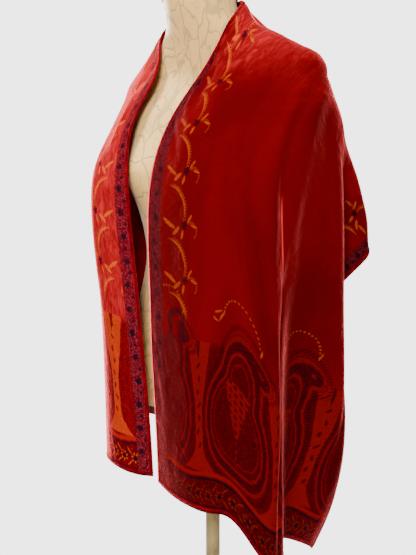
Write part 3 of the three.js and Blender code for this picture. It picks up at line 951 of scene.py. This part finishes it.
def vases(p):
    """Flame-coloured shapes between the paisleys: a narrow waist that widens steadily upwards
    and by a square below, with a notch in the top and a wavy row of dark marks."""
    x = repeat(p.row - VASE_AT, PAISLEY_PITCH)
    flare = most(VASE_FLARE - p.end_w, 0.0)
    half = VASE_WAIST + 0.185 * most(p.end_w - VASE_WIDENS, 0.0) + 17.0 * flare * flare
    vase = blend_out(size_of(x) - half, -0.0006, 0.0006)
    vase = vase * line(p.end_w - (PANEL_TOP + VASE_FOOT) / 2, (PANEL_TOP - VASE_FOOT) / 2, 0.001)
    notch = blend_out(size_of(x) - 0.13 * most(p.end_w - VASE_NOTCH, 0.0), -0.0004, 0.0006)
    notch = notch * blend_in(p.end_w, VASE_NOTCH - 0.004, VASE_NOTCH + 0.002)
    mark_x = x - 0.0022 * sine(p.end_w * 210.0)
    mark_y = repeat(p.end_w + p.sway * 0.004, VASE_MARK_PITCH)
    marks = petals(mark_x, mark_y, VASE_MARK) * blend_in(p.end_w, 0.082, 0.092)
    # The flame shapes are painted more orange on the right half, which is painted as lit.
    yield tint(FLAME, ORANGE, p.downward * 0.4), vase * (0.62 + 0.2 * p.worn_print)
    yield MAROON, most(notch, marks) * vase * 0.85


def oval_depth(x, y, at, length, width, angle):
    """How deep a point is inside a turned ellipse, near enough in metres: below zero outside."""
    return (1.0 - distance(*turned_in(x, y, at, length, width, angle))) * width


def joined(a, b, softness):
    """The deeper of two depths with a soft corner between them."""
    return Value.math("SMOOTH_MAX", a, b, softness)


def paisley_depth(row, end):
    """How deep a point is inside a paisley: a round drop, a leaning neck and a tip that bends
    over to one side, joined softly."""
    x = repeat(row - (VASE_AT + PAISLEY_PITCH / 2), PAISLEY_PITCH)
    y = end - PAISLEY_FOOT
    body = oval_depth(x, y, (-0.002, 0.082), 0.081, 0.056, math.pi / 2)
    neck = oval_depth(x, y, (0.006, 0.148), 0.072, 0.033, math.pi / 2 - 0.16)
    tip = oval_depth(x, y, (0.036, 0.196), 0.027, 0.014, -0.7)
    return joined(joined(body, neck, 0.014), tip, 0.012), x, y


def contour(depth, at, half, soft):
    """A line that follows an outline at a depth inside it."""
    return line(depth - at, half, soft)


def paisleys(p):
    """Paisleys: beads outside, a broad flame outline, a dark beaded line, finer lines, and a
    dotted heart that widens evenly from its foot. A dark beaded arch stands by the left band."""
    depth, x, y = paisley_depth(p.row, p.end_w)
    past_edge = blend_in(p.across, *PAISLEY_START)
    yield INK, contour(depth, *BEAD_LINE) * p.beads * 0.75 * past_edge
    outlines = most(contour(depth, *BROAD_LINE), contour(depth, *INNER_LINE))
    heart_half = 0.0008 + 0.24 * most(y - HEART_FOOT, 0.0)
    heart = blend_out(size_of(x - 0.001) - heart_half, -0.0005, 0.0006)
    heart = heart * blend_in(depth, *HEART_DEPTH) * blend_out(y, *HEART_TOP)
    dots = distance(repeat(x, 0.0085), repeat(y + 0.3 * x, 0.0105))
    fill = laid_over(MAROON, [
        (CHERRY, most(p.curls_fine * 0.75, p.hatch * 0.25)),
        (FLAME, outlines * (0.34 + 0.3 * p.worn_print)),
        (INK, contour(depth, *DARK_LINE) * (0.1 + 0.45 * p.beads_across)),
        (CHERRY, contour(depth, *FINE_LINE) * 0.6),
        (FLAME, heart * 0.62),
        (INK, heart * blend_out(dots, 0.0014, 0.0028) * 0.85),
    ])
    yield fill, blend_in(depth, -0.0006, 0.0006) * past_edge
    arch = distance(p.edge_w - ARCH_AT[0], most(p.end_w - ARCH_AT[1], 0.0))
    arch = contour(arch, *ARCH_RING) * blend_in(p.end_w, 0.232, 0.236)
    arch = arch * blend_in(p.along, 0.0, 0.01)
    yield MAROON, arch * 0.85
    yield INK, arch * p.beads * 0.45


def dotted_arches(p):
    """Dotted arches and small leaves above the paisley tips."""
    x = repeat(p.row - (VASE_AT + PAISLEY_PITCH / 2), PAISLEY_PITCH) - 0.006
    y = p.end_w - (END_TOP - 0.014)
    arch = line(distance(x, y) - DOTTED_RADIUS, 0.0012, 0.0007) * blend_in(y, -0.004, 0.004)
    arch = most(arch * spaced_round(x, y, 30.0, -0.2, 0.4), petals(x, y, TIP_LEAVES))
    clear_of_band = blend_in(p.edge, BAND_TO, BAND_TO + 0.004)
    yield ORANGE, arch * clear_of_band * (0.35 + 0.45 * p.worn_print)


def hem_band(p):
    """The band across the hem: foot line, dark scallops, ring flowers, and strokes of orange."""
    scallop = p.end_w - HEM_BAND - 0.0025 * sine(p.edge * 62.0)
    yield FLAME, line(scallop - 0.007, 0.0032, 0.001) * 0.85
    ground = tint(MAROON, CHERRY, most(p.curls, p.specks * 0.6))
    yield ground, blend_out(scallop, -0.0005, 0.0005)
    x = repeat(p.edge_w - 0.008, HEM_FLOWER_PITCH)
    y = p.end_w - HEM_FLOWER_HEIGHT
    ring = distance(x, y)
    # The flowers and strokes are painted stronger on the right half, which is painted as lit.
    shown = 0.35 + 0.65 * p.downward
    flower = line(ring - HEM_FLOWER_RADIUS, 0.0018, 0.0008) * spaced_round(x, y, 7.0, -0.3, 0.3)
    yield ORANGE, flower * (0.15 + 0.45 * p.worn_print) * shown
    yield INK, blend_out(ring, 0.0026, 0.0038)
    strokes = petals(repeat(p.edge_w - 0.02, HEM_FLOWER_PITCH), y, HEM_STROKES)
    yield ORANGE, strokes * (0.12 + 0.45 * p.worn_print) * shown
    yield INK, line(scallop, 0.0014, 0.0006)
    yield INK, line(p.end_w - 0.0085, 0.001, 0.0005) * 0.8


def edge_band(p):
    """The speckled band along the long edges, with dark flowers and buds on a wavy line."""
    speckle = blend_in(noise(p.place, 430.0, 2.0, 0.6, 1.6), 0.53, 0.64)
    x = p.edge_w + p.sway * 0.004 - BAND_FLOWER_AT - 0.0028 * sine(p.end * 31.0)
    y = repeat(p.end_w + p.sway_too * 0.004, BAND_FLOWER_PITCH)
    bud_x = p.edge_w - BAND_BUD_AT + 0.003 * sine(p.end * 50.0)
    bud = distance(bud_x, repeat(p.end_w + BAND_FLOWER_PITCH / 2, BAND_FLOWER_PITCH))
    ground = laid_over(PLUM, [
        (LILAC, speckle * 0.55),
        (INK, blend_out(flower_radius(x, y, 0.22), 0.004, 0.006)),
        (INK, blend_out(bud, 0.0018, 0.0032)),
    ])
    band = line(p.edge_w - (BAND_FROM + BAND_TO) / 2, (BAND_TO - BAND_FROM) / 2, BAND_SOFT)
    yield ground, band * 0.94
    yield CRIMSON_DEEP, blend_out(p.edge + p.turned, BAND_FROM - 0.001, BAND_FROM)


PRINT = (sprigs, end_panel, vases, paisleys, dotted_arches, hem_band, edge_band)


def pile_finish(sheen):
    """What every pile has: no plain gloss, and a red sheen."""
    return {
        "Roughness": 0.46,
        "Specular IOR Level": 0.0,
        "Sheen Weight": sheen,
        "Sheen Roughness": 0.3,
        "Sheen Tint": (1.0, 0.13, 0.14),
    }


def velvet_finish():
    """The printed face: a mottled ground with painted sheen and painted highlights over it, the
    layers of the print over it in their order, and a brightness scale of random tone and painted
    sheen. Its normals are the pile's fine grain over soft dents from handling."""
    p = print_places()
    brush_pile(p)
    # The ground: random mottle, then the painted sheen and painted highlights in pink.
    ground = [(CRIMSON, blend_in(p.mottle, 0.3, 0.62)), (BRUSHED_ROSE, p.brushed)]
    colour = laid_over(CRIMSON_DEEP, ground)
    for layers in PRINT:
        colour = laid_over(colour, layers(p))
    # Brightness: random tone from mottle and grain, plus painted sheen on the right half and the
    # painted highlights on the ridge and at the collar.
    light = 0.145 + 0.05 * p.mottle + 0.08 * p.grain + p.downward * (0.08 + 0.28 * p.streaks)
    light = light + p.on_fold * 0.75 + p.crushed * 0.16
    nap = bump(noise(p.place, 3400.0, 1.0), 0.00035, 0.5)
    nap = bump(noise(p.place, 130.0, 3.0, 0.5, 0.6), 0.0016, 0.4, nap)
    nap = bump(noise(p.place, 30.0, 2.0, 0.45, 0.8), 0.006, 0.4, nap)
    return {"Base Color": scaled(colour, light), "Normal": nap} | pile_finish(0.7)


def velvet_back_finish():
    """The underside: plain dull crimson with a fine twill and the print's shadow."""
    along, across, end, edge = cloth_place()
    twill = blend_in(sine((along + across) * 5200.0), -0.4, 0.6)
    mottle = noise(vector_of(along, across), 14.0, 3.0)
    ghost = blend_out(least(edge - 0.03, end - 0.24), -0.004, 0.006)
    colour = tint(CRIMSON, CRIMSON_DEEP, blend_in(mottle, 0.3, 0.7))
    colour = scaled(tint(colour, MAROON, ghost * 0.55), 0.68 + 0.22 * twill)
    return {"Base Color": colour, "Normal": bump(twill, 0.0002, 0.5)} | pile_finish(0.25)


HEM_STITCHES = 1000.0


def hem_finish():
    """The rolled hem: dark red velvet with a stitch every few millimetres along it."""
    u, v = cloth_map()
    stitch = blend_in(sine(u * (2 * math.pi * HEM_STITCHES)), 0.5, 0.95)
    place = vector_of(u * 4.5, v * 0.012)
    mottle = noise(place, 60.0, 3.0)
    colour = tint(MAROON, CRIMSON_DEEP, blend_in(mottle, 0.3, 0.7))
    colour = scaled(tint(colour, INK, stitch * 0.5), 0.45 + 0.15 * mottle)
    normal = bump(stitch * -1.0 + noise(place, 900.0) * 0.6, 0.0005, 0.6)
    return {"Base Color": colour, "Normal": normal} | pile_finish(0.45)


CREAM = (0.62, 0.37, 0.105)
CREAM_DEEP = (0.54, 0.31, 0.085)
CREAM_SHADE = (0.28, 0.2, 0.075)
SCROLL_SCALE = 26.0
SCROLL_RANDOM = 0.75
WRAP_RADIUS = 0.13


def cover_finish():
    """Cream jacquard over the form: low curling scrolls of a tone darker, on a fine weave."""
    place = object_place()
    x, y, z = parts_of(place)
    angle = bearing(x, -y)
    round_form = angle * WRAP_RADIUS
    bend = noise(vector_of(round_form, z), 30.0, 1.0) - 0.5
    bend_too = noise(vector_of(z, round_form, 0.7), 30.0, 1.0) - 0.5
    warped = vector_of(round_form + bend * 0.045, z + bend_too * 0.045)
    veins = cells(warped, SCROLL_SCALE, "DISTANCE_TO_EDGE", SCROLL_RANDOM)
    scrolls = cells(warped, SCROLL_SCALE, "F1", SCROLL_RANDOM)
    relief = most(blend_out(veins, 0.02, 0.075), line(scrolls - 0.3, 0.025, 0.02) * 0.5)
    mesh = sine(angle * 260.0) * sine(z * 2000.0)
    colour = tint(CREAM, CREAM_DEEP, blend_in(noise(place, 7.0, 3.0), 0.3, 0.7))
    colour = scaled(tint(colour, CREAM_SHADE, relief * 0.7), 0.97 + 0.04 * mesh)
    raised = bump(1.0 - relief, 0.0011, 0.55)
    return {
        "Base Color": colour,
        "Normal": bump(mesh, 0.00018, 0.35, raised),
        "Roughness": 0.72,
        "Sheen Weight": 0.15,
        "Sheen Roughness": 0.5,
    }


def cap_finish():
    """Pale satin cap with fine turning marks and a little dirt in them."""
    place = object_place()
    x, y, _ = parts_of(place)
    rings = sine(distance(x, y + NECK_FORWARD) * 5200.0)
    smudge = noise(place, 30.0, 3.0)
    return {
        "Base Color": tint((0.72, 0.72, 0.71), (0.6, 0.59, 0.57), blend_in(smudge, 0.35, 0.7)),
        "Roughness": 0.26 + 0.14 * smudge + 0.02 * rings,
        "Normal": bump(rings, 0.00006, 0.4),
    }


def board_finish():
    """Dark stained board: grain in stretched noise along X."""
    x, y, z = parts_of(object_place())
    grain = noise(vector_of(x * 0.12, y, z * 0.5), 90.0, 4.0, 0.6, 1.0)
    colour = tint((0.1, 0.04, 0.026), (0.045, 0.018, 0.012), blend_in(grain, 0.35, 0.65))
    return {"Base Color": colour, "Normal": bump(grain, 0.0005, 0.4), "Roughness": 0.5}


def stand_finish():
    """Warm brushed metal: fine upright brushing, darker marks, and uneven polish."""
    place = object_place()
    x, y, z = parts_of(place)
    brushing = vector_of(bearing(y, x) * 3.0, z * 0.9, distance(x, y) * 40.0)
    brush = noise(brushing, 46.0, 3.0, 0.6)
    marks = noise(place, 22.0, 4.0, 0.6)
    colour = tint((0.29, 0.21, 0.09), (0.15, 0.105, 0.045), blend_in(marks, 0.42, 0.68))
    return {
        "Base Color": scaled(colour, 0.7 + 0.6 * brush),
        "Roughness": 0.26 + 0.24 * brush,
        "Normal": bump(brush, 0.0003, 0.3),
        "Metallic": 0.6,
    }


def floor_finish():
    """Plain pale floor with a faint unevenness."""
    tone = noise(object_place(), 3.0, 2.0)
    return {"Base Color": tint((0.86, 0.86, 0.86), (0.83, 0.83, 0.83), tone), "Roughness": 0.8}


velvet = material("velvet", velvet_finish)
velvet_back = material("velvet_back", velvet_back_finish)
hem_velvet = material("hem_velvet", hem_finish)
form_cover = material("form_cover", cover_finish)
cap_satin = material("cap_satin", cap_finish)
stained_board = material("stained_board", board_finish)
stand_metal = material("stand_metal", stand_finish)
floor_paint = material("floor_paint", floor_finish)


# How much nearer the form the creased cloth may lie, and the last easing of its points.
CREASE_GAP = 0.0012
LAST_EASE = 0.5


def make_cloth():
    """The scarf as one sheet: settled, refined, creased and kept off the form."""
    along, across = cloth_grid(*FINE)
    points = creased(refined(settled_cloth(), *FINE), along, across)
    points = pushed_out(points, clearance(points[..., 2]) - CREASE_GAP)
    points = eased(points, LAST_EASE)
    piece = link("scarf", points, grid_faces(*FINE)[:, ::-1].tolist(), velvet, velvet_back)
    add_uv(piece, (along + HALF) / SCARF_LENGTH, across / SCARF_LENGTH)
    wall = piece.modifiers.new("wall", "SOLIDIFY")
    wall.thickness = CLOTH_THICK
    wall.offset = 0
    wall.material_offset = 1
    wall.material_offset_rim = 0
    return piece, points


# The hem's bead: how many grid steps it lies in from the edge, its sides, how flat it is
# pressed, and how far it stands proud of the cloth's middle.
HEM_INSET = 1
HEM_SIDES = 10
HEM_FLATNESS = 1.25
HEM_LIFT = 0.0003


def make_hem(points):
    """The rolled hem: an oval bead carried round the cloth's edge, a little in from it."""
    inner = (slice(HEM_INSET, -HEM_INSET), slice(HEM_INSET, -HEM_INSET))
    loop, up = (
        np.concatenate([grid[:-1, 0], grid[-1, :-1], grid[:0:-1, -1], grid[0, :0:-1]])
        for grid in (points[inner], outward_normals(points)[inner])
    )
    way = unit(np.roll(loop, -1, axis=0) - np.roll(loop, 1, axis=0))
    side = unit(np.cross(way, up))
    angle = round_angles(HEM_SIDES)
    ring = np.cos(angle)[None, :, None] * side[:, None] * HEM_FLATNESS
    ring = ring + np.sin(angle)[None, :, None] * up[:, None]
    bead = loop[:, None] + HEM_RADIUS * ring + HEM_LIFT * up[:, None]
    rows = len(bead)
    index = np.arange(rows * HEM_SIDES).reshape(rows, HEM_SIDES)
    ahead = np.roll(index, -1, axis=0)
    faces = [index, ahead, np.roll(ahead, -1, axis=1), np.roll(index, -1, axis=1)]
    faces = np.stack(faces, axis=-1).reshape(-1, 4).tolist()
    piece = link("scarf_hem", bead, faces, hem_velvet)
    u = np.arange(rows)[:, None] / (rows + 1) + np.zeros(HEM_SIDES)
    v = np.arange(HEM_SIDES)[None, :] / HEM_SIDES + np.zeros((rows, 1))
    add_uv(piece, u, v)
    return piece


TORSO_ROWS = 190
TORSO_COLS = 240
# The share of the torso's rows that is evenly spaced. The others draw together at the neck.
EVEN_ROWS = 0.55
# How far the lower edge is drawn in, and over what height.
TUCK = 0.028
TUCK_HEIGHT = 0.006


def make_torso():
    """The dress form's skin: a power-ellipse section at each height, with the bust added in
    front, and a softly rounded lower edge."""
    rise = np.linspace(0, 1, TORSO_ROWS)
    rise = EVEN_ROWS * rise + (1 - EVEN_ROWS) * (1 - (1 - rise) ** 2)
    z = FORM_BOTTOM + (FORM_TOP - FORM_BOTTOM) * rise
    z, angle = np.meshgrid(z, round_angles(TORSO_COLS), indexing="ij")
    half, middle, front, back = form_section(z)
    power = 2 / squareness(z)
    c, s = np.cos(angle), np.sin(angle)
    x = half * np.sign(c) * np.abs(c) ** power
    depth = np.where(s < 0, front + bust(x, z), back)
    y = -middle + depth * np.sign(s) * np.abs(s) ** power
    tuck = 1 - TUCK * np.exp(-((z - FORM_BOTTOM) / TUCK_HEIGHT) ** 2)
    return ring_solid("torso_cover", np.stack([x * tuck, y * tuck, z], axis=-1), form_cover)


scarf, cloth_points = make_cloth()
scarf_hem = make_hem(cloth_points)
torso = make_torso()

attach(scarf, "root")
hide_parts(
    "scarf_right_front",
    "scarf_right_side",
    "scarf_back",
    "scarf_left_front",
    "scarf_left_side",
)
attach(scarf_hem, "root")
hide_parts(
    "hem_neck_right_front",
    "hem_neck_back",
    "hem_neck_left_front",
    "hem_outer_right_front",
    "hem_outer_back",
    "hem_outer_left_front",
    "hem_end_right",
    "hem_end_left",
)
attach(torso, "root")
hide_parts("form_torso")

# The innermost ring of a turned piece, which a flat face closes.
INNERMOST = 0.0005


def upright(low, high):
    """The profile, as (radius, height), of an upright cylinder that fills a box."""
    radius = (high[0] - low[0]) / 2
    return [(INNERMOST, low[2]), (radius, low[2]), (radius, high[2]), (INNERMOST, high[2])]


cap_profile = upright(*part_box("neck_cap"))
pole_profile = upright(*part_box("pole"))
# The base: a flat disc whose top rises in a low dome.
base_low, base_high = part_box("base_disc")
base_radius = (base_high[0] - base_low[0]) / 2
base_profile = [
    (INNERMOST, 0.0),
    (base_radius, 0.0),
    (base_radius, 0.009),
    (base_radius - 0.02, 0.0105),
    (0.064, 0.018),
    (0.034, base_high[2]),
    (INNERMOST, base_high[2]),
]

# The hard pieces of the form and its stand, turned with rounded edges in their solids' places.
for name, node, slot, finish, profile, edge, forward in (
    ("cap_cover", "neck_cap", "cap", cap_satin, cap_profile, 0.0035, NECK_FORWARD),
    ("stand_pole", "pole", "stand", stand_metal, pole_profile, 0.001, 0.0),
    ("stand_base", "base_disc", "stand", stand_metal, base_profile, 0.004, 0.0),
):
    piece = turned_solid(name, rounded(profile, edge), finish, forward)
    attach(piece, "root")
    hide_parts(node)

for node, finish in (("pole_collar", stand_metal), ("form_board", stained_board)):
    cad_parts[node].data.materials.clear()
    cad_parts[node].data.materials.append(finish)


FLOOR_RADIUS = 1.7
FLOOR_LEVEL = -0.0005
FLOOR_SIDES = 96


def make_floor():
    """A wide flat disc just under the base."""
    angle = round_angles(FLOOR_SIDES)
    rim = [FLOOR_RADIUS * np.cos(angle), FLOOR_RADIUS * np.sin(angle), 0 * angle + FLOOR_LEVEL]
    link("floor", np.stack(rim, axis=1), [list(range(FLOOR_SIDES))], floor_paint)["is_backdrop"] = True


make_floor()


def area_light(name, place, target, size, power, colour):
    """A soft square light at a place, facing a target."""
    data = bpy.data.lights.new(name, "AREA")
    data.size = size
    data.energy = power
    data.color = colour
    lamp = bpy.data.objects.new(name, data)
    bpy.context.scene.collection.objects.link(lamp)
    way = np.subtract(place, target)
    flat = math.hypot(way[0], way[1])
    lamp.location = place
    lamp.rotation_euler = (math.atan2(flat, way[2]), 0, math.atan2(way[1], way[0]) + math.pi / 2)


for light in (
    ("key", (1.55, -2.45, 2.0), (0, 0, 1.05), 0.8, 225, (1.0, 0.95, 0.88)),
    ("side", (-2.75, 0.7, 1.75), (0, 0, 1.05), 0.7, 430, (1.0, 0.97, 0.93)),
    ("top", (-0.3, -0.5, 3.3), (0.05, 0, 1.3), 0.6, 150, (1.0, 0.97, 0.93)),
    ("rear", (1.8, 2.2, 2.4), (0, 0, 1.0), 1.4, 36, (1.0, 1.0, 1.0)),
):
    area_light(*light)

SOFT_LIGHT = 0.3
PLAIN_WHITE = 3.8


def make_world():
    """Dim soft light from all round, behind the object plain white."""
    world = bpy.data.worlds.new("studio")
    world.use_nodes = True
    Value.tree = tree = world.node_tree
    soft = tree.nodes["Background"]
    soft.inputs["Color"].default_value = (1, 0.98, 0.96, 1)
    soft.inputs["Strength"].default_value = SOFT_LIGHT
    plain = add_node("Background", {"Color": (1, 1, 1), "Strength": PLAIN_WHITE})
    seen = add_node("LightPath", {}).outputs["Is Camera Ray"]
    mixed = add_node("MixShader", {0: seen, 1: soft.outputs[0], 2: plain.outputs[0]})
    feed(tree.nodes["World Output"].inputs["Surface"], mixed.outputs[0])
    bpy.context.scene.world = world


make_world()

camera_data = bpy.data.cameras.new("camera")
camera_data.lens = FOCAL_PIXELS * SENSOR / PICTURE_HEIGHT
camera_data.sensor_width = SENSOR
camera_data.sensor_fit = "AUTO"
camera = bpy.data.objects.new("camera", camera_data)
camera.location = (
    CAMERA_DISTANCE * math.sin(CAMERA_TURN) - CAMERA_STEP * math.cos(CAMERA_TURN),
    -CAMERA_DISTANCE * math.cos(CAMERA_TURN) - CAMERA_STEP * math.sin(CAMERA_TURN),
    CAMERA_HEIGHT,
)
camera.rotation_euler = (math.pi / 2, 0, CAMERA_TURN)
bpy.context.scene.collection.objects.link(camera)
bpy.context.scene.camera = camera

boxes = {"cad": CAD_BOX, "visual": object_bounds()}
{name: [list(corner) for corner in box] for name, box in boxes.items()}
